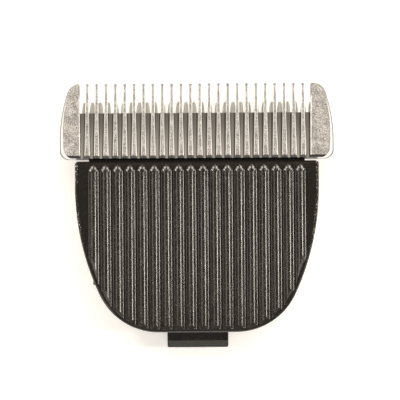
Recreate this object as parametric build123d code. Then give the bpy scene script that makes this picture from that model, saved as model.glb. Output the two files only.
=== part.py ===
"""Clip-on blade set of a hair clipper, lying on its hidden side with the skin side up.

Millimetres. X runs along the row of teeth, Y points out past the tips, Z is up from the rim below.
"""

import os
from math import cos, radians, sin, tan

from build123d import *

# Housing: a D-shaped moulding, open below
housing_width = 39.3
housing_length = 27.6
housing_height = 8.7
side_radius = 41.2
side_turn = 25.0
corner_radius = 10.5
plate_thickness = 1.6
wall_thickness = 1.6
edge_round = 0.5

# Ribs on the skin side of the housing
rib_count = 18
rib_pitch = 1.96
rib_width = 1.71
rib_height = 0.5
rib_flank_angle = 45.0
rib_foot_round = 0.2
rib_crest_round = 0.28
rib_nose_angle = 28.0
rib_nose_length = 1.2
rib_nose_fullness = 0.61
rib_front_margin = 0.27
rib_rim_margin = 0.52
rib_root = 0.2

# Comb: the stationary blade, a wedge that is thin at the tips
comb_length = 12.3
comb_rear_thickness = 2.6
comb_tip_thickness = 0.45
comb_side_taper = 17.0
comb_rear_taper = 6.5
comb_rear_bevel = 0.69
comb_rear_bevel_angle = 33.0
comb_corner_radius = 1.5
comb_gap = 0.25
end_tooth_width = 4.0
end_tooth_tip_width = 1.15
end_tooth_straight = 3.3
end_tooth_shoulder_in = 1.28
end_tooth_shoulder_back = 1.4
end_tooth_side_bulge = 0.3
end_tooth_nose_bulge = 0.28

# Slots between the comb's teeth, ground along the blade and out at its rear
tooth_count = 24
tooth_pitch = 1.513
tooth_row_shift = -0.22
slot_mouth_width = 1.0
slot_rear_width = 0.68
slot_through_length = 4.75
groove_rear_depth = 0.6
tooth_tip_bevel = 0.15
tooth_tip_length = 0.3
tooth_edge_bevel = 0.13
tooth_edge_angle = 30.0
overrun = 1.0

# Cutter: the moving blade under the comb
cutter_tooth_count = 31
cutter_pitch = 1.261
cutter_thickness = 1.1
cutter_length = 5.2
cutter_setback = 2.95
cutter_tooth_length = 2.6
cutter_tip_width = 0.42
cutter_shoulder_width = 0.8
cutter_shoulder_back = 0.9
cutter_root_gap = 0.25
cutter_tip_bevel = 0.16
cutter_rest_shift = -0.41
running_clearance = 0.02

# Seat that carries the comb in front of the housing
seat_height = 6.6
seat_thickness = 2.0
seat_front_clearance = 0.4
cheek_thickness = 1.5
window_width = 20.0

# Screws that hold the comb
screw_spacing = 28.0
screw_rear_distance = 1.55
screw_shank_radius = 0.8
screw_hole_clearance = 0.1
thread_depth = 1.2
thread_clearance = 0.02
screw_head_radius = 1.5
screw_head_height = 1.1
screw_head_clearance = 0.45
recess_length = 1.7
recess_width = 0.45
recess_depth = 0.6

# Drive block fixed under the cutter, with a fork for the drive pin
pad_width = 20.0
pad_thickness = 1.5
pad_front_margin = 2.9
arm_width = 9.2
arm_floor = 0.8
fork_gap = 5.0
fork_depth = 4.6
fork_reach = 7.4
fork_top = 6.0
block_clearance = 0.3
stake_spacing = 11.0
stake_radius = 0.6
stake_clearance = 0.05

# Springs that press the cutter on to the comb
wire_radius = 0.25
wire_sides = 6
coil_radius = 1.2
coil_turns = 3
coil_pitch = 0.56
coil_inner_x = 8.2
coil_back = 4.7
spring_clearance = 0.06
leg_front_overlap = 2.0
leg_back_length = 4.0
post_radius = 0.8
lug_thickness = 1.5
lug_margin = 0.5
stop_size = 1.8

# Rear tab that hooks under the clipper's catch
tab_width = 9.9
tab_reach = 2.65
tab_top = 4.4
tab_thickness = 2.2
tab_bevel_length = 1.14
tab_bevel_drop = 0.9
tab_corner_round = 0.3

# Snap ridges inside the walls, and the stub left by the moulding gate
detent_radius = 0.5
detent_length = 2.4
detent_height = 1.8
gate_reach = 0.3
gate_length = 1.3
gate_height = 1.5
gate_floor = 0.6
gate_back = 19.4

# Places worked out from the sizes above
tooth_row_width = tooth_count * tooth_pitch
comb_width = tooth_row_width + 2 * end_tooth_width
overall_length = comb_length + comb_gap + housing_length + tab_reach
tip_y = overall_length / 2
comb_rear_y = tip_y - comb_length
front_y = comb_rear_y - comb_gap
rear_y = front_y - housing_length
plate_under = housing_height - plate_thickness
cutter_tip_y = tip_y - cutter_setback
cutter_rear_y = cutter_tip_y - cutter_length
cutter_top = seat_height - running_clearance
cutter_under = cutter_top - cutter_thickness
seat_width = screw_spacing + 2 * (screw_head_radius + screw_head_clearance + cheek_thickness)
seat_front_y = cutter_rear_y - seat_front_clearance
seat_under = seat_height - seat_thickness
pad_under = cutter_under - pad_thickness
screw_y = comb_rear_y + screw_rear_distance
coil_y = front_y - coil_back
leg_z = pad_under - spring_clearance - wire_radius
coil_z = leg_z - coil_radius
coil_length = coil_turns * coil_pitch
lug_x = coil_inner_x + coil_length + wire_radius + lug_margin / 2


def block(x_low, x_high, y_low, y_high, z_low, z_high):
    """A box given by its faces."""
    size = (x_high - x_low, y_high - y_low, z_high - z_low)
    centre = ((x_low + x_high) / 2, (y_low + y_high) / 2, (z_low + z_high) / 2)
    return Pos(*centre) * Box(*size)


def d_outline(inset):
    """The D of the housing seen from above, moved inwards by inset."""
    turn = radians(side_turn)
    half = housing_width / 2 - inset
    flank, corner = side_radius - inset, corner_radius - inset
    bottom = rear_y + inset
    corner_y = bottom + corner * (1 - sin(turn))
    side_y = corner_y + flank * sin(turn)
    corner_x = half - flank * (1 - cos(turn))
    flat_x = corner_x - corner * cos(turn)
    mid_side = (half - flank * (1 - cos(turn / 2)), side_y - flank * sin(turn / 2))
    mid_turn = (radians(90) + turn) / 2
    mid_corner = (flat_x + corner * cos(mid_turn), bottom + corner * (1 - sin(mid_turn)))
    right = [
        Line((half, front_y - inset), (half, side_y)),
        ThreePointArc((half, side_y), mid_side, (corner_x, corner_y)),
        ThreePointArc((corner_x, corner_y), mid_corner, (flat_x, bottom)),
    ]
    left = [edge.mirror(Plane.YZ) for edge in right]
    front = Line((-half, front_y - inset), (half, front_y - inset))
    rear = Line((flat_x, bottom), (-flat_x, bottom))
    return make_face(Curve() + right + left + [front, rear])


def d_rear(x, inset):
    """The Y of the D's rear edge at x, moved inwards by inset."""
    turn = radians(side_turn)
    half = housing_width / 2 - inset
    flank, corner = side_radius - inset, corner_radius - inset
    bottom = rear_y + inset
    corner_x = half - flank * (1 - cos(turn))
    flat_x = corner_x - corner * cos(turn)
    if abs(x) <= flat_x:
        return bottom
    if abs(x) <= corner_x:
        return bottom + corner - (corner**2 - (abs(x) - flat_x) ** 2) ** 0.5
    side_y = bottom + corner * (1 - sin(turn)) + flank * sin(turn)
    return side_y - (flank**2 - (flank - half + abs(x)) ** 2) ** 0.5


def rib_levels():
    """Heights and insets of the rib's flank, from its foot to its crest, with a softened edge at each."""
    angle = radians(rib_flank_angle)
    foot_rise, foot_run = rib_foot_round * (1 - cos(angle)), rib_foot_round * sin(angle)
    crest_rise, crest_run = rib_crest_round * (1 - cos(angle)), rib_crest_round * sin(angle)
    flank_run = (rib_height - foot_rise - crest_rise) / tan(angle)
    return [
        (-rib_root, 0),
        (0, 0),
        (foot_rise, foot_run),
        (rib_height - crest_rise, foot_run + flank_run),
        (rib_height, foot_run + flank_run + crest_run),
    ]


def rib_section(x, z, inset):
    """The rib's outline at one level: straight sides, a pointed nose and an end along the housing's rim."""
    half = rib_width / 2 - inset
    nose_inset = inset * tan(radians(rib_flank_angle)) / tan(radians(rib_nose_angle))
    nose_y = front_y - rib_front_margin - nose_inset
    shoulder_y = nose_y - rib_nose_length * half / (rib_width / 2)
    left_y = d_rear(x - half, rib_rim_margin + inset)
    right_y = d_rear(x + half, rib_rim_margin + inset)
    bulge = (half * rib_nose_fullness, shoulder_y + (nose_y - shoulder_y) * rib_nose_fullness)
    edges = [
        Line((x - half, left_y), (x + half, right_y)),
        Line((x + half, right_y), (x + half, shoulder_y)),
        ThreePointArc((x + half, shoulder_y), (x + bulge[0], bulge[1]), (x, nose_y)),
        ThreePointArc((x, nose_y), (x - bulge[0], bulge[1]), (x - half, shoulder_y)),
        Line((x - half, shoulder_y), (x - half, left_y)),
    ]
    return Pos(0, 0, housing_height + z) * make_face(Curve() + edges)


def make_rib(x):
    """One rib, lofted through its levels."""
    return loft([rib_section(x, z, inset) for z, inset in rib_levels()], ruled=True)


def make_shell():
    """The D-shaped shell with its front wall, rounded round the skin side."""
    body = extrude(d_outline(0), housing_height)
    corners = body.edges().filter_by(Axis.Z).group_by(Axis.Y)[-1]
    body = fillet(corners, edge_round)
    body = fillet(body.faces().sort_by(Axis.Z)[-1].edges(), edge_round)
    return body - extrude(d_outline(wall_thickness), plate_under)


def make_seat():
    """The ledge that carries the comb, with a cheek at each end down to the rim."""
    half = seat_width / 2
    seat = block(-half, half, front_y - wall_thickness, seat_front_y, seat_under, seat_height)
    for inner_x in (-half, half - cheek_thickness):
        outer_x = inner_x + cheek_thickness
        seat += block(inner_x, outer_x, front_y - wall_thickness, seat_front_y, 0, seat_under)
    return seat


def make_tab():
    """The rear tab, bevelled at its end."""
    end_y = rear_y - tab_reach
    profile = Polyline(
        (rear_y + wall_thickness, tab_top),
        (end_y + tab_bevel_length, tab_top),
        (end_y, tab_top - tab_bevel_drop),
        (end_y, tab_top - tab_thickness),
        (rear_y + wall_thickness, tab_top - tab_thickness),
        close=True,
    )
    tab = extrude(Plane.YZ * make_face(profile), tab_width / 2, both=True)
    return fillet(tab.edges().filter_by(Axis.Z).group_by(Axis.Y)[0], tab_corner_round)


def make_spring_holder(side):
    """The lug and pin that carry one coil, and the stop above its rear leg."""
    lug_low, lug_high = coil_z - post_radius - lug_margin, plate_under + plate_thickness / 2
    reach = post_radius + lug_margin
    lug = block(lug_x, lug_x + lug_thickness, coil_y - reach, coil_y + reach, lug_low, lug_high)
    pin_length = lug_x - coil_inner_x + wire_radius + lug_margin
    pin = Pos(lug_x - pin_length / 2, coil_y, coil_z) * Rot(0, 90, 0) * Cylinder(post_radius, pin_length)
    stop_x = coil_inner_x + coil_length
    stop_y = coil_y - leg_back_length + stop_size / 2
    stop_low = leg_z + wire_radius + spring_clearance
    stop = Pos(stop_x, stop_y, (stop_low + lug_high) / 2) * Box(stop_size, stop_size, lug_high - stop_low)
    holder = lug + pin + stop
    return holder if side > 0 else mirror(holder, Plane.YZ)


def make_detents():
    """Ridges inside the two side walls that snap over the clipper's nose."""
    wall_x = housing_width / 2 - wall_thickness
    ridge_y = front_y - wall_thickness - detent_length / 2
    ridge = Rot(90, 0, 0) * Cylinder(detent_radius, detent_length)
    return [Pos(side * wall_x, ridge_y, detent_height) * ridge for side in (-1, 1)]


def make_gate():
    """The stub of the moulding gate on the left wall."""
    gate_y = front_y - gate_back
    turn_x = housing_width / 2 - side_radius
    side_y = rear_y + corner_radius * (1 - sin(radians(side_turn))) + side_radius * sin(radians(side_turn))
    wall_x = turn_x + (side_radius**2 - (side_y - gate_y) ** 2) ** 0.5
    return block(-wall_x - gate_reach, -wall_x + wall_thickness / 2, gate_y - gate_length / 2,
                 gate_y + gate_length / 2, gate_floor, gate_floor + gate_height)


def make_housing():
    """The whole moulding in one piece."""
    housing = make_shell()
    window = block(-window_width / 2, window_width / 2, front_y - wall_thickness, front_y, 0, seat_under)
    housing = housing - window + make_seat() + make_tab() + make_gate()
    for side in (-1, 1):
        housing += make_spring_holder(side)
    housing += make_detents()
    hole = Cylinder(screw_shank_radius + screw_hole_clearance, 2 * seat_thickness)
    for side in (-1, 1):
        housing -= Pos(side * screw_spacing / 2, screw_y, seat_under + seat_thickness / 2) * hole
    first_rib = -(rib_count - 1) / 2 * rib_pitch
    return housing + [make_rib(first_rib + i * rib_pitch) for i in range(rib_count)]


def bulged(start, end, bulge):
    """An arc from start to end that stands out from its chord, to the left of the way from start to end."""
    chord = Vector(end) - Vector(start)
    middle = (Vector(start) + Vector(end)) / 2 + Vector(-chord.Y, chord.X).normalized() * bulge
    return ThreePointArc(start, middle, end)


def comb_outline(height=0):
    """The comb in plan at a height over its underside: its sides and rear lean in, its tips stand up."""
    lean = height * tan(radians(comb_side_taper))
    half = comb_width / 2 - lean
    corner = (half, comb_rear_y + height * tan(radians(comb_rear_taper)))
    waist = (half, comb_rear_y + end_tooth_straight)
    shoulder = (half - end_tooth_shoulder_in, tip_y - end_tooth_shoulder_back)
    tip = (tooth_row_width / 2 + end_tooth_tip_width - lean, tip_y)
    right = [
        Line(corner, waist),
        bulged(waist, shoulder, -end_tooth_side_bulge),
        bulged(shoulder, tip, -end_tooth_nose_bulge),
    ]
    left = [edge.mirror(Plane.YZ) for edge in right]
    ends = [Line((-tip[0], tip_y), tip), Line((-half, corner[1]), corner)]
    face = make_face(Curve() + right + left + ends)
    face = fillet(face.vertices().group_by(Axis.Y)[0], comb_corner_radius)
    return Pos(0, 0, seat_height + height) * face


def comb_thickness(y):
    """The comb's thickness at y."""
    slope = (comb_rear_thickness - comb_tip_thickness) / comb_length
    return comb_tip_thickness + (tip_y - y) * slope


def wedge_profile():
    """The comb's wedge seen from the side, with its rear bevel, running past both its ends."""
    ahead, behind = tip_y + overrun / 10, comb_rear_y - overrun
    bevel_y = comb_rear_y + comb_rear_bevel
    bevel_top = seat_height + comb_thickness(bevel_y)
    bevel_drop = (bevel_y - behind) * tan(radians(comb_rear_bevel_angle))
    return make_face(Polyline(
        (ahead, seat_height),
        (ahead, seat_height + comb_thickness(ahead)),
        (bevel_y, bevel_top),
        (behind, bevel_top - bevel_drop),
        (behind, seat_height),
        close=True,
    ))


def slot_side_profile():
    """What the grinding wheel takes from each slot, seen from the side."""
    floor_y = tip_y - slot_through_length
    floor_rise = (comb_rear_thickness - groove_rear_depth) / (floor_y - comb_rear_y)
    top = seat_height + comb_rear_thickness + overrun
    return make_face(Polyline(
        (tip_y + overrun, seat_height - overrun),
        (floor_y + overrun / floor_rise, seat_height - overrun),
        (comb_rear_y - overrun, seat_height + (floor_y - comb_rear_y + overrun) * floor_rise),
        (comb_rear_y - overrun, top),
        (tip_y + overrun, top),
        close=True,
    ))


def slot_outline(x, mouth_y, rear_y, margin=0, lead=overrun):
    """One slot in plan, widening to its mouth, with a margin on each side and a lead past the mouth."""
    widen = (slot_mouth_width - slot_rear_width) / (mouth_y - rear_y) / 2
    mouth = slot_mouth_width / 2 + margin + lead * widen
    rear = slot_rear_width / 2 + margin - overrun * widen
    return make_face(Polyline(
        (x - mouth, mouth_y + lead),
        (x + mouth, mouth_y + lead),
        (x + rear, rear_y - overrun),
        (x - rear, rear_y - overrun),
        close=True,
    ))


def slot_places():
    """The X of each slot, one more than there are slim teeth."""
    return [tooth_row_shift + (i - tooth_count / 2) * tooth_pitch for i in range(tooth_count + 1)]


def make_slots():
    """All slots as one tool: right through at the tips, then grooves that rise to the rear."""
    plans = [slot_outline(x, tip_y, comb_rear_y) for x in slot_places()]
    tall = extrude(Pos(0, 0, seat_height - overrun) * (Sketch() + plans), comb_rear_thickness + 2 * overrun)
    return tall & extrude(Plane.YZ * slot_side_profile(), comb_width, both=True)


def make_tip_bevels():
    """The tool that bevels the tips of the slim teeth in plan."""
    plan = Pos(0, 0, -seat_height) * comb_outline()
    plan -= [slot_outline(x, tip_y, comb_rear_y) for x in slot_places()]
    half_row = tooth_row_width / 2
    tips = [v for v in plan.vertices().group_by(Axis.Y)[-1] if abs(v.X - tooth_row_shift) < half_row]
    band = Pos(tooth_row_shift, tip_y) * Rectangle(tooth_row_width, 2 * overrun)
    outside = band - chamfer(tips, tooth_tip_bevel)
    return extrude(Pos(0, 0, seat_height - overrun) * outside, comb_rear_thickness + 2 * overrun)


def make_tooth_bevels():
    """The tools that bevel the top edges of the slots, set on the skin face and short of the tips."""
    slope = (comb_rear_thickness - comb_tip_thickness) / comb_length
    skin_length = comb_length * (1 + slope**2) ** 0.5
    skin = Plane((0, tip_y, seat_height + comb_tip_thickness), x_dir=(1, 0, 0), z_dir=(0, slope, 1))
    depth = tooth_edge_bevel * tan(radians(tooth_edge_angle))
    tools = []
    for x in slot_places():
        upper = slot_outline(x, 0, -skin_length, 2 * tooth_edge_bevel, tooth_edge_bevel - tooth_tip_length)
        lower = slot_outline(x, 0, -skin_length, 0, -tooth_edge_bevel - tooth_tip_length)
        tools.append(loft([skin.offset(depth) * upper, skin.offset(-depth) * lower], ruled=True))
    return tools


def make_comb_blade():
    """The stationary blade: a tapered plate ground to a wedge, slotted, with blind tapped holes below."""
    plate = loft([comb_outline(), comb_outline(comb_rear_thickness + overrun)], ruled=True)
    wedge = extrude(Plane.YZ * wedge_profile(), comb_width, both=True)
    comb = (plate & wedge) - make_slots() - make_tip_bevels() - make_tooth_bevels()
    hole = Cylinder(screw_shank_radius + thread_clearance, thread_depth)
    for side in (-1, 1):
        comb -= Pos(side * screw_spacing / 2, screw_y, seat_height + thread_depth / 2) * hole
    return comb


def cutter_gap(x):
    """The notch between two cutter teeth, seen from above."""
    mouth, shoulder = cutter_pitch - cutter_tip_width, cutter_pitch - cutter_shoulder_width
    outer = mouth + overrun * (mouth - shoulder) / cutter_shoulder_back
    shoulder_y = cutter_tip_y - cutter_shoulder_back
    root_y = cutter_tip_y - cutter_tooth_length
    return make_face(Polyline(
        (x - outer / 2, cutter_tip_y + overrun),
        (x + outer / 2, cutter_tip_y + overrun),
        (x + shoulder / 2, shoulder_y),
        (x + cutter_root_gap / 2, root_y),
        (x - cutter_root_gap / 2, root_y),
        (x - shoulder / 2, shoulder_y),
        close=True,
    ))


def make_cutter_blade():
    """The moving blade: a flat plate with pointed teeth and two holes for the drive block's stakes."""
    width = cutter_tooth_count * cutter_pitch
    first_gap = -cutter_tooth_count / 2 * cutter_pitch
    plate = Pos(0, (cutter_tip_y + cutter_rear_y) / 2) * Rectangle(width, cutter_length)
    plate -= [cutter_gap(first_gap + i * cutter_pitch) for i in range(cutter_tooth_count + 1)]
    tips = plate.vertices().group_by(Axis.Y)[-1]
    plate = chamfer(tips, cutter_tip_bevel)
    hole_y = (cutter_rear_y + cutter_tip_y - cutter_tooth_length) / 2
    for side in (-1, 1):
        plate -= Pos(side * stake_spacing / 2, hole_y) * Circle(stake_radius + stake_clearance)
    blade = extrude(Pos(0, 0, cutter_under) * plate, cutter_thickness)
    return Pos(cutter_rest_shift, 0, 0) * blade


def make_drive_block():
    """The follower: a pad with two stakes under the cutter, and an arm with a fork at its end."""
    pad_front_y = cutter_tip_y - pad_front_margin
    pad = block(-pad_width / 2, pad_width / 2, cutter_rear_y, pad_front_y, pad_under, cutter_under)
    arm_top = min(pad_under, seat_under - block_clearance)
    half = arm_width / 2
    fork_end_y = front_y - fork_reach
    arm = block(-half, half, fork_end_y, pad_front_y, arm_floor, arm_top)
    fork_front_y = front_y - wall_thickness - block_clearance
    arm += block(-half, half, fork_end_y, fork_front_y, arm_floor, fork_top)
    arm -= block(-fork_gap / 2, fork_gap / 2, fork_end_y, fork_end_y + fork_depth, 0, housing_height)
    hole_y = (cutter_rear_y + cutter_tip_y - cutter_tooth_length) / 2
    stake = Cylinder(stake_radius, cutter_thickness)
    whole = pad + arm
    for side in (-1, 1):
        whole += Pos(side * stake_spacing / 2, hole_y, cutter_under + cutter_thickness / 2) * stake
    return Pos(cutter_rest_shift, 0, 0) * whole


def make_spring(side):
    """A torsion spring: a leg forward under the pad, a coil on its pin and a leg back under its stop."""
    reach = (coil_radius**2 + (coil_pitch / 4) ** 2) ** 0.5
    front = Vector(coil_inner_x, cutter_rear_y + leg_front_overlap, leg_z)
    top = Vector(coil_inner_x, coil_y, leg_z)
    path = [Line(front, top)]
    for _ in range(coil_turns):
        rear = Vector(top.X + coil_pitch / 4, coil_y - reach, coil_z)
        bottom = Vector(top.X + coil_pitch / 2, coil_y, coil_z - coil_radius)
        ahead = Vector(top.X + coil_pitch * 3 / 4, coil_y + reach, coil_z)
        next_top = Vector(top.X + coil_pitch, coil_y, leg_z)
        path += [ThreePointArc(top, rear, bottom), ThreePointArc(bottom, ahead, next_top)]
        top = next_top
    path.append(Line(top, top - Vector(0, leg_back_length, 0)))
    section = Plane(front, z_dir=(0, -1, 0)) * RegularPolygon(wire_radius, wire_sides)
    spring = sweep(section, Wire(path))
    return spring if side > 0 else mirror(spring, Plane.YZ)


def make_screws():
    """The two screws of the comb, heads down."""
    shank_length = seat_thickness + thread_depth - 2 * thread_clearance
    shank = Pos(0, 0, seat_under + shank_length / 2) * Cylinder(screw_shank_radius, shank_length)
    head = Pos(0, 0, seat_under - screw_head_height / 2) * Cylinder(screw_head_radius, screw_head_height)
    screw = head + shank
    recess_z = seat_under - screw_head_height + recess_depth / 2
    screw -= Pos(0, 0, recess_z) * Box(recess_length, recess_width, recess_depth)
    screw -= Pos(0, 0, recess_z) * Box(recess_width, recess_length, recess_depth)
    return [Pos(side * screw_spacing / 2, screw_y, 0) * screw for side in (-1, 1)]


os.makedirs("parts", exist_ok=True)
pieces = {
    "housing": make_housing(),
    "comb_blade": make_comb_blade(),
    "cutter_blade": make_cutter_blade(),
    "drive_block": make_drive_block(),
    "spring_left": make_spring(-1),
    "spring_right": make_spring(1),
    "comb_screws": Compound(children=make_screws()),
}
for name, piece in pieces.items():
    export_step(piece, f"parts/{name}.step")
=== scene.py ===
import math

import bpy
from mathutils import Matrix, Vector


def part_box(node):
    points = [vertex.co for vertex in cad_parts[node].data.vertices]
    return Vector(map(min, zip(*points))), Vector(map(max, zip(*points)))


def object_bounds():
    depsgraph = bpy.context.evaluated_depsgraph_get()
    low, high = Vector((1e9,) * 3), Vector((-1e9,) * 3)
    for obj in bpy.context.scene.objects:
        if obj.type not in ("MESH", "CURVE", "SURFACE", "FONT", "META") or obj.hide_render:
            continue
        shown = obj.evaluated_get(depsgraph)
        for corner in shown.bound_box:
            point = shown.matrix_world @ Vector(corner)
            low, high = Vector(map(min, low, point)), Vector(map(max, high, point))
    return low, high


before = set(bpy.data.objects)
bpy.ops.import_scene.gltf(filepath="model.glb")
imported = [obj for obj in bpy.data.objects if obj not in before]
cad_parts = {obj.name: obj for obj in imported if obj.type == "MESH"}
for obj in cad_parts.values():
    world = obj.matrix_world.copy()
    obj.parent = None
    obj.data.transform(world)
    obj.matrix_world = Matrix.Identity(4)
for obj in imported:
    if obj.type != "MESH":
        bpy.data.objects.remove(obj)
cad_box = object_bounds()

# Places from the frame: the middle in metres, the rest in millimetres
millimetre = 0.001
middle = (cad_box[0] + cad_box[1]) / 2
comb_low, comb_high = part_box("comb_blade")
comb_rear = comb_low.y / millimetre
comb_front = comb_high.y / millimetre
comb_under = comb_low.z / millimetre
housing_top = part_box("housing")[1].z / millimetre

# The comb's forms that its finish follows, in millimetres and degrees
comb_rear_thickness = 2.6
comb_tip_thickness = 0.45
comb_rear_bevel_angle = 33.0
groove_rear_depth = 0.6
slot_through_length = 4.75
slot_mouth_width = 1.0
slot_rear_width = 0.68
tooth_pitch = 1.513
tooth_row_shift = -0.22
tooth_row_half = 18.0
gap_end = comb_front - slot_through_length

# How far the comb's ground faces lean towards the tips, in degrees
comb_length = comb_front - comb_rear
skin_rise = comb_rear_thickness - comb_tip_thickness
groove_rise = comb_rear_thickness - groove_rear_depth
skin_lean = math.degrees(math.atan(skin_rise / comb_length))
groove_lean = math.degrees(math.atan(groove_rise / (comb_length - slot_through_length)))
lean_tolerance = 1.5

# Where the comb's colour changes, in millimetres
mask_fade = 0.1
# How high the painted shade low on the comb's walls reaches
wall_shade_height = 0.85
# How far back the painted shade at the teeth's tips reaches
tip_shade_length = 0.36
tip_shade_fade = 0.12
# How wide the painted shade on the teeth's edges beside the grooves is
lip_shade_width = 0.085
lip_shade_full_width = 0.03
# Where the painted shadow along one wall of each slot lies
corner_shadow_shift = -0.08
corner_shadow_width = 0.24
corner_shadow_full_width = 0.06

# Where the housing's finish changes, in millimetres and degrees
rib_height = 0.5
rib_foot = 0.05
rib_shoulder = 0.2
edge_round = 0.5
edge_start = 0.0005
edge_full = 0.003
grit_rear = -8.0
grit_front = 2.0
nose_tip_tilt = 16.0

# The part of a height over which its mask is full
full_share = 0.8

# Directions that faces turn to
upward = (0.0, 0.0, 1.0)
rearward = (0.0, -1.0, 0.0)
rightward = (1.0, 0.0, 0.0)
leftward = (-1.0, 0.0, 0.0)

# Camera: straight above the part, turned by as much as the part lies askew in the photo
picture_width = 64.4
focus_height = 8.5
camera_distance = 0.45
camera_right = 0.48
camera_up = 2.55
camera_turn = 0.35
sensor_width = 36.0
clip_near = 0.01
clip_far = 10.0

# Softboxes: degrees round from the tips to the right, degrees up, size in metres and brightness
lamp_distance = 0.5
lamp_tint = (1.0, 0.93, 0.83)
lamps = {
    "lamp_right": (91.7, 36.0, (0.06, 0.21), 25.0),
    "lamp_left": (-91.7, 36.0, (0.06, 0.21), 5.0),
    "lamp_side_left": (-120.0, 25.0, (0.24, 0.16), 3.5),
    "lamp_edges_right": (73.0, 27.0, (0.12, 0.12), 3.0),
    "lamp_edges_left": (-73.0, 27.0, (0.12, 0.12), 3.0),
    "lamp_tips_right": (66.0, 8.0, (0.18, 0.13), 12.0),
    "lamp_tips_left": (-66.0, 8.0, (0.18, 0.13), 13.0),
    "lamp_noses_right": (46.0, 21.0, (0.13, 0.14), 11.0),
    "lamp_noses_left": (-46.0, 21.0, (0.13, 0.14), 11.0),
    "lamp_high": (0.0, 57.0, (0.36, 0.24), 3.2),
    "lamp_behind": (180.0, 70.0, (0.30, 0.12), 3.2),
    "lamp_rear": (180.0, 12.0, (0.50, 0.12), 0.8),
}

# The room round the part: how bright it is near the horizon and overhead, and how high the horizon reaches
room_tint = (1.0, 0.97, 0.92, 1.0)
backdrop_white = (1.0, 1.0, 1.0, 1.0)
horizon_light = 0.5
overhead_light = 0.2
horizon_band = 0.3

# The floor, in metres, and the glow that makes it white to the camera
floor_half = 2.0
floor_colour = (0.90, 0.90, 0.91, 1.0)
glow_tint = (1.0, 0.95, 0.88, 1.0)
floor_glow = 0.42

# Shading across the small facets of rounded edges
weld_distance = 2e-6
sharp_angle = 35.0
wire_angle = 75.0
flat_face_weight = 90


def add_node(tree, kind, **settings):
    """A new node in a tree, with these settings."""
    node = tree.nodes.new(kind)
    for key, value in settings.items():
        setattr(node, key, value)
    return node


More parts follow.
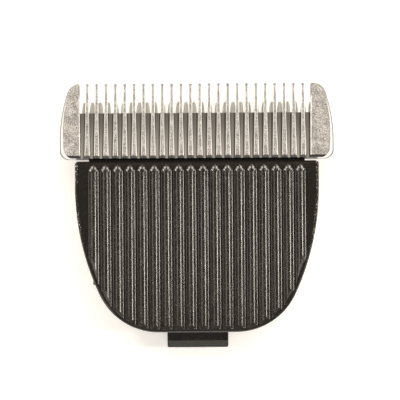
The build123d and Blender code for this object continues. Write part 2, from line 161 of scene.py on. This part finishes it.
class Finish:
    """A node material: one surface shader, and patterns laid out in millimetres on the piece itself."""

    def __init__(self, name, metallic=0.0, specular=0.5):
        self.material = bpy.data.materials.new(name)
        self.material.use_nodes = True
        self.tree = self.material.node_tree
        self.shader = self.tree.nodes["Principled BSDF"]
        self.shader.inputs["Metallic"].default_value = metallic
        self.shader.inputs["Specular IOR Level"].default_value = specular
        scale = self.add("ShaderNodeVectorMath", operation="SCALE")
        self.feed(scale.inputs["Vector"], self.add("ShaderNodeTexCoord").outputs["Object"])
        scale.inputs["Scale"].default_value = 1 / millimetre
        self.place = scale.outputs["Vector"]

    def add(self, kind, **settings):
        """A new node of this material."""
        return add_node(self.tree, kind, **settings)

    def feed(self, socket, value):
        """Links a socket to another one, or sets it to a number or colour."""
        if isinstance(value, bpy.types.NodeSocket):
            self.tree.links.new(value, socket)
        else:
            socket.default_value = value

    def noise(self, per_mm, detail=2.0, stretch=(1.0, 1.0, 1.0)):
        """Noise with so many features to the millimetre, stretched by the given factors."""
        squeeze = self.add("ShaderNodeVectorMath", operation="DIVIDE")
        self.feed(squeeze.inputs[0], self.place)
        squeeze.inputs[1].default_value = stretch
        node = self.add("ShaderNodeTexNoise")
        self.feed(node.inputs["Vector"], squeeze.outputs["Vector"])
        node.inputs["Scale"].default_value = per_mm
        node.inputs["Detail"].default_value = detail
        return node.outputs["Fac"]

    def levels(self, value, low, high, out_low=0.0, out_high=1.0, shape="SMOOTHSTEP"):
        """A value brought from low..high to out_low..out_high and held there."""
        node = self.add("ShaderNodeMapRange", interpolation_type=shape)
        for name, item in zip(("Value", "From Min", "From Max", "To Min", "To Max"),
                              (value, low, high, out_low, out_high)):
            self.feed(node.inputs[name], item)
        return node.outputs["Result"]

    def wander(self, per_mm, low, high, detail=3.0):
        """A value that wanders between low and high over the piece."""
        return self.levels(self.noise(per_mm, detail), 0.3, 0.7, out_low=low, out_high=high)

    def maths(self, operation, first, second):
        """Two values put together by an operation."""
        node = self.add("ShaderNodeMath", operation=operation)
        self.feed(node.inputs[0], first)
        self.feed(node.inputs[1], second)
        return node.outputs["Value"]

    def times(self, first, *others):
        """The product of values."""
        for other in others:
            first = self.maths("MULTIPLY", first, other)
        return first

    def highest(self, first, *others):
        """The highest of values."""
        for other in others:
            first = self.maths("MAXIMUM", first, other)
        return first

    def mix(self, factor, first, second):
        """From the first value to the second one, by factor."""
        node = self.add("ShaderNodeMix", data_type="FLOAT")
        for index, item in ((0, factor), (2, first), (3, second)):
            self.feed(node.inputs[index], item)
        return node.outputs[0]

    def blend(self, factor, first, second):
        """From the first colour to the second one, by factor."""
        node = self.add("ShaderNodeMix", data_type="RGBA")
        for index, item in ((0, factor), (6, first), (7, second)):
            self.feed(node.inputs[index], item)
        return node.outputs[2]

    def turned(self, way, low, high):
        """From 0 to 1 as a face turns towards a direction, by the cosines low and high."""
        node = self.add("ShaderNodeVectorMath", operation="DOT_PRODUCT")
        self.feed(node.inputs[0], self.add("ShaderNodeNewGeometry").outputs["True Normal"])
        node.inputs[1].default_value = way
        return self.levels(node.outputs["Value"], low, high)

    def facing(self, lean):
        """1 on flat faces that lean by this many degrees from straight up towards the tips."""
        edge = math.cos(math.radians(lean_tolerance))
        return self.turned(leaning(lean), edge, (1 + edge) / 2)

    def along(self, axis):
        """The place along X, Y or Z, in millimetres."""
        node = self.add("ShaderNodeSeparateXYZ")
        self.feed(node.inputs["Vector"], self.place)
        return node.outputs[axis]

    def colour(self, value):
        self.feed(self.shader.inputs["Base Color"], value)

    def roughness(self, value):
        self.feed(self.shader.inputs["Roughness"], value)

    def specular(self, value):
        self.feed(self.shader.inputs["Specular IOR Level"], value)

    def bump(self, relief, depth_mm):
        """Relief of a depth in millimetres."""
        node = self.add("ShaderNodeBump")
        node.inputs["Strength"].default_value = 1.0
        node.inputs["Distance"].default_value = depth_mm * millimetre
        self.feed(node.inputs["Height"], relief)
        self.feed(self.shader.inputs["Normal"], node.outputs["Normal"])


def leaning(lean):
    """The direction that leans by so many degrees from straight up towards the tips."""
    angle = math.radians(lean)
    return (0.0, math.sin(angle), math.cos(angle))


def grey(level, warmth=0.0):
    """A linear grey, a little warm."""
    return (level * (1 + warmth), level, level * (1 - warmth), 1.0)


def housing_zones(finish):
    """Masks of the housing's ribs and of the rounded edge round its plate."""
    plate = housing_top - rib_height
    height = finish.along("Z")
    on_rib = finish.levels(height, plate + rib_foot, plate + rib_shoulder)
    below_plate = finish.levels(height, plate - edge_start, plate - edge_full)
    above_wall = finish.levels(height, plate - edge_round, plate - edge_round * full_share)
    return on_rib, finish.times(below_plate, above_wall)


def housing_colour(finish, on_rib, on_edge):
    """Black, with a film and specks of dust on the ribs and pale grit along the side edges."""
    black = finish.blend(finish.noise(0.3, 4.0), grey(0.0065, 0.32), grey(0.0100, 0.32))
    film = finish.levels(finish.noise(1.5, 5.0), 0.35, 0.70, out_low=0.1, out_high=0.7)
    black = finish.blend(finish.times(on_rib, film), black, grey(0.028, 0.2))
    patches = finish.levels(finish.noise(0.35, 3.0), 0.32, 0.55)
    specks = finish.levels(finish.noise(6.5, 1.0), 0.62, 0.69)
    dust = finish.times(specks, patches, finish.mix(on_rib, 0.10, 0.8))
    dusty = finish.blend(dust, black, grey(0.20, 0.05))
    sideways = finish.highest(finish.turned(rightward, 0.08, 0.14), finish.turned(leftward, 0.08, 0.14))
    sides = finish.times(on_edge, sideways, finish.levels(finish.along("Y"), grit_rear, grit_front))
    grains = finish.levels(finish.noise(4.5, 2.0), 0.60, 0.64)
    return finish.blend(finish.times(grains, sides, patches), dusty, grey(0.80, 0.05))


def housing_finish():
    """Moulded black plastic: glossy, but dull along the edge, at the ribs' rear ends and at the nose tips."""
    finish = Finish("housing_black")
    on_rib, on_edge = housing_zones(finish)
    finish.colour(housing_colour(finish, on_rib, on_edge))
    dull_edge = finish.times(on_edge, finish.turned(rearward, 0.3, 0.1))
    rib_ends = finish.times(on_rib, finish.turned(rearward, 0.2, 0.5))
    nose_tips = finish.turned(leaning(nose_tip_tilt), 0.964, 0.975)
    dull = finish.highest(dull_edge, rib_ends, nose_tips)
    finish.roughness(finish.mix(dull, finish.wander(1.5, 0.12, 0.20, detail=4.0), 0.55))
    finish.specular(finish.mix(dull, 0.6, 0.15))
    finish.bump(finish.noise(5.0, 3.0), depth_mm=0.0015)
    return finish.material


def slot_wall_distance(finish, offset=0.0):
    """How far a place in a slot of the comb is from the slot's walls, in millimetres."""
    along_row = finish.maths("SUBTRACT", finish.along("X"), tooth_row_shift + offset)
    from_middle = finish.maths("PINGPONG", along_row, tooth_pitch / 2)
    half_width = finish.levels(finish.along("Y"), comb_rear, comb_front,
                               slot_rear_width / 2, slot_mouth_width / 2, shape="LINEAR")
    return finish.maths("SUBTRACT", half_width, from_middle)


def skin_colour(finish, grains):
    """Blasted steel, cloudy and grainy."""
    clouds = finish.levels(finish.noise(0.8, 3.0), 0.35, 0.65)
    bright = finish.blend(clouds, grey(0.46, 0.04), grey(0.68, 0.04))
    return finish.blend(finish.levels(grains, 0.36, 0.64), grey(0.11, 0.04), bright)


def groove_colour(finish, lines):
    """Ground steel with lines, with a painted shadow along the slots' walls and painted shade towards the
    gaps.
    """
    ground = finish.blend(finish.levels(lines, 0.3, 0.7), grey(0.145, 0.08), grey(0.23, 0.08))
    # Painted shadow along one wall of each groove
    corners = finish.levels(slot_wall_distance(finish, corner_shadow_shift), corner_shadow_width, corner_shadow_full_width)
    ground = finish.blend(finish.times(corners, 0.9), ground, grey(0.03, 0.06))
    # Painted shade: the grooves darken towards the gaps, where they are deeper
    depth_shade = finish.levels(finish.along("Y"), gap_end, comb_rear, out_low=0.38, out_high=1.0)
    return finish.blend(depth_shade, grey(0.03, 0.10), ground)


def groove_lip_shade(finish, in_row):
    """A mask of painted shade on the teeth's edges beside the grooves, stronger towards the gaps and none
    past them.
    """
    frontward = finish.levels(finish.along("Y"), comb_rear, gap_end)
    behind_gaps = finish.levels(finish.along("Y"), gap_end + mask_fade, gap_end)
    near_wall = finish.levels(slot_wall_distance(finish), -lip_shade_width, -lip_shade_full_width)
    return finish.times(frontward, behind_gaps, in_row, near_wall)


def edge_colour(finish, in_row, polish):
    """Smooth steel, bright on the teeth's edges, with painted shade low on the walls, along the grooves' lips
    and on the rear bevel.
    """
    smooth = finish.blend(finish.noise(1.2, 3.0), grey(0.74, 0.02), grey(0.84, 0.02))
    # Painted shade: the walls are darker near the comb's underside
    low_wall_shade = finish.levels(finish.along("Z"), comb_under + wall_shade_height,
                             comb_under + wall_shade_height * full_share)
    edges = finish.blend(low_wall_shade, smooth, grey(0.07, 0.02))
    edges = finish.blend(polish, edges, grey(0.74))
    # Painted shade on the teeth's edges beside the grooves
    edges = finish.blend(groove_lip_shade(finish, in_row), edges, grey(0.10, 0.08))
    # Painted shade: the rear bevel is coloured darker
    return finish.blend(finish.facing(-comb_rear_bevel_angle), edges, grey(0.25, 0.02))


def comb_finish():
    """Steel: blasted on the skin face, ground along the grooves, smooth on the edges, with painted shade at
    the tips.
    """
    finish = Finish("comb_steel", metallic=1.0)
    skin = finish.facing(skin_lean)
    groove = finish.facing(groove_lean)
    from_middle = finish.maths("ABSOLUTE", finish.along("X"), 0.0)
    in_row = finish.levels(from_middle, tooth_row_half + mask_fade, tooth_row_half)
    polish = finish.times(in_row, finish.turned(upward, 0.5, 0.7))
    grains = finish.noise(8.5, 1.0)
    lines = finish.noise(9.0, 2.0, stretch=(1.0, 60.0, 60.0))
    steel = finish.blend(groove, edge_colour(finish, in_row, polish), groove_colour(finish, lines))
    steel = finish.blend(skin, steel, skin_colour(finish, grains))
    # Painted shade: the teeth's tips are coloured darker
    tip_start = comb_front - tip_shade_length
    tips = finish.times(in_row, finish.levels(finish.along("Y"), tip_start, tip_start + tip_shade_fade))
    finish.colour(finish.blend(tips, steel, grey(0.27, 0.02)))
    smooth = finish.mix(polish, 0.18, 0.42)
    finish.roughness(finish.mix(skin, finish.mix(groove, smooth, 0.40), 0.44))
    finish.bump(finish.mix(skin, finish.times(lines, 0.25), grains), depth_mm=0.016)
    return finish.material


def cutter_finish():
    """Ivory ceramic, finely ground across the teeth."""
    finish = Finish("cutter_ceramic", specular=0.4)
    lines = finish.noise(8.0, 2.0, stretch=(40.0, 1.0, 1.0))
    ivory = finish.blend(finish.noise(0.6, 3.0), (0.91, 0.88, 0.79, 1.0), (0.95, 0.93, 0.86, 1.0))
    finish.colour(finish.blend(finish.levels(lines, 0.45, 0.75), ivory, (0.86, 0.83, 0.74, 1.0)))
    finish.roughness(finish.wander(1.0, 0.38, 0.50))
    finish.bump(lines, depth_mm=0.003)
    return finish.material


def follower_finish():
    """Moulded dark grey plastic."""
    finish = Finish("follower_plastic", specular=0.4)
    finish.colour(finish.blend(finish.noise(0.5, 4.0), grey(0.040, 0.02), grey(0.060, 0.02)))
    finish.roughness(finish.wander(2.0, 0.40, 0.55))
    finish.bump(finish.noise(6.0, 2.0), depth_mm=0.008)
    return finish.material


def wire_finish():
    """Drawn spring wire with fine streaks."""
    finish = Finish("spring_wire", metallic=1.0)
    streaks = finish.noise(10.0, 2.0, stretch=(1.0, 12.0, 1.0))
    finish.colour(finish.blend(streaks, grey(0.42, 0.03), grey(0.62, 0.03)))
    finish.roughness(finish.wander(1.5, 0.25, 0.38))
    finish.bump(streaks, depth_mm=0.004)
    return finish.material


def screw_finish():
    """Plated steel with small marks."""
    finish = Finish("screw_steel", metallic=1.0)
    marks = finish.noise(7.0, 3.0)
    finish.colour(finish.blend(marks, grey(0.50, 0.04), grey(0.64, 0.04)))
    finish.roughness(finish.wander(2.0, 0.28, 0.42))
    finish.bump(marks, depth_mm=0.004)
    return finish.material


def soften(piece, angle):
    """Shades edges up to this angle smoothly across their facets, without touching the mesh."""
    weld = piece.modifiers.new("weld", "WELD")
    weld.merge_threshold = weld_distance
    split = piece.modifiers.new("split", "EDGE_SPLIT")
    split.split_angle = math.radians(angle)
    normals = piece.modifiers.new("normals", "WEIGHTED_NORMAL")
    normals.weight = flat_face_weight


def dress_pieces():
    """Gives every piece its finish."""
    wire = wire_finish()
    finishes = {
        "housing": housing_finish(),
        "comb_blade": comb_finish(),
        "cutter_blade": cutter_finish(),
        "drive_block": follower_finish(),
        "spring_left": wire,
        "spring_right": wire,
        "comb_screws": screw_finish(),
    }
    for name, material in finishes.items():
        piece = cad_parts[name]
        piece.data.materials.clear()
        piece.data.materials.append(material)
        soften(piece, wire_angle if material is wire else sharp_angle)


def softbox(name, turn, rise, size, radiance):
    """A soft lamp aimed at the part from a direction, as bright over its face as radiance says."""
    lamp = bpy.data.lights.new(name, "AREA")
    lamp.shape = "RECTANGLE"
    lamp.size, lamp.size_y = size
    lamp.energy = radiance * math.pi * size[0] * size[1]
    lamp.color = lamp_tint
    holder = bpy.data.objects.new(name, lamp)
    turn, rise = math.radians(turn), math.radians(rise)
    flat = math.cos(rise)
    way = Vector((math.sin(turn) * flat, math.cos(turn) * flat, math.sin(rise)))
    holder.location = middle + lamp_distance * way
    holder.rotation_euler = (-way).to_track_quat("-Z", "Y").to_euler()
    holder.visible_camera = False
    bpy.context.collection.objects.link(holder)


def seen_directly(tree):
    """1 for what the camera sees straight, in a reflection or through glass."""
    path = add_node(tree, "ShaderNodeLightPath")
    total = path.outputs["Is Camera Ray"]
    for name in ("Is Glossy Ray", "Is Transmission Ray"):
        either = add_node(tree, "ShaderNodeMath", operation="MAXIMUM")
        tree.links.new(total, either.inputs[0])
        tree.links.new(path.outputs[name], either.inputs[1])
        total = either.outputs["Value"]
    return total


def choose_shader(tree, factor, first, second):
    """The first shader where factor is 0 and the second where it is 1."""
    choose = add_node(tree, "ShaderNodeMixShader")
    for index, socket in enumerate((factor, first, second)):
        tree.links.new(socket, choose.inputs[index])
    return choose.outputs["Shader"]


def make_world():
    """White to the camera; for the part, a room that is pale near the horizon and dim overhead."""
    world = bpy.data.worlds.new("studio")
    world.use_nodes = True
    tree = world.node_tree
    split = add_node(tree, "ShaderNodeSeparateXYZ")
    tree.links.new(add_node(tree, "ShaderNodeTexCoord").outputs["Generated"], split.inputs["Vector"])
    level = add_node(tree, "ShaderNodeMapRange")
    tree.links.new(split.outputs["Z"], level.inputs["Value"])
    level.inputs["From Max"].default_value = horizon_band
    level.inputs["To Min"].default_value = horizon_light
    level.inputs["To Max"].default_value = overhead_light
    room = tree.nodes["Background"]
    room.inputs["Color"].default_value = room_tint
    tree.links.new(level.outputs["Result"], room.inputs["Strength"])
    white = add_node(tree, "ShaderNodeBackground")
    white.inputs["Color"].default_value = backdrop_white
    to_camera = add_node(tree, "ShaderNodeLightPath").outputs["Is Camera Ray"]
    surface = choose_shader(tree, to_camera, room.outputs["Background"], white.outputs["Background"])
    tree.links.new(surface, tree.nodes["World Output"].inputs["Surface"])
    bpy.context.scene.world = world


def floor_finish():
    """White with the part's soft shadow from above, and clear from below."""
    material = bpy.data.materials.new("floor_white")
    material.use_nodes = True
    tree = material.node_tree
    tree.nodes.clear()
    diffuse = add_node(tree, "ShaderNodeBsdfDiffuse")
    diffuse.inputs["Color"].default_value = floor_colour
    level = add_node(tree, "ShaderNodeMath", operation="MULTIPLY")
    tree.links.new(seen_directly(tree), level.inputs[0])
    level.inputs[1].default_value = floor_glow
    glow = add_node(tree, "ShaderNodeEmission")
    glow.inputs["Color"].default_value = glow_tint
    tree.links.new(level.outputs["Value"], glow.inputs["Strength"])
    both = add_node(tree, "ShaderNodeAddShader")
    tree.links.new(diffuse.outputs["BSDF"], both.inputs[0])
    tree.links.new(glow.outputs["Emission"], both.inputs[1])
    clear = add_node(tree, "ShaderNodeBsdfTransparent")
    from_below = add_node(tree, "ShaderNodeNewGeometry").outputs["Backfacing"]
    surface = choose_shader(tree, from_below, both.outputs["Shader"], clear.outputs["BSDF"])
    tree.links.new(surface, add_node(tree, "ShaderNodeOutputMaterial").inputs["Surface"])
    return material


def make_floor():
    """A wide floor under the part."""
    mesh = bpy.data.meshes.new("floor")
    signs = ((-1, -1), (1, -1), (1, 1), (-1, 1))
    corners = [(x * floor_half, y * floor_half, 0) for x, y in signs]
    mesh.from_pydata(corners, [], [range(len(corners))])
    mesh.materials.append(floor_finish())
    floor = bpy.data.objects.new("floor", mesh)
    bpy.context.collection.objects.link(floor)


def make_camera():
    """The camera over the part, with the photo's framing."""
    lens = bpy.data.cameras.new("camera")
    lens.sensor_width = sensor_width
    lens.lens = sensor_width * camera_distance / (picture_width * millimetre)
    lens.clip_start = clip_near
    lens.clip_end = clip_far
    camera = bpy.data.objects.new("camera", lens)
    height = focus_height * millimetre + camera_distance
    camera.location = (camera_right * millimetre, camera_up * millimetre, height)
    camera.rotation_euler = (0.0, 0.0, -math.radians(camera_turn))
    bpy.context.collection.objects.link(camera)
    bpy.context.scene.camera = camera


dress_pieces()
for lamp_name, settings in lamps.items():
    softbox(lamp_name, *settings)
make_world()
make_floor()
make_camera()
bpy.context.scene.view_settings.view_transform = "Standard"
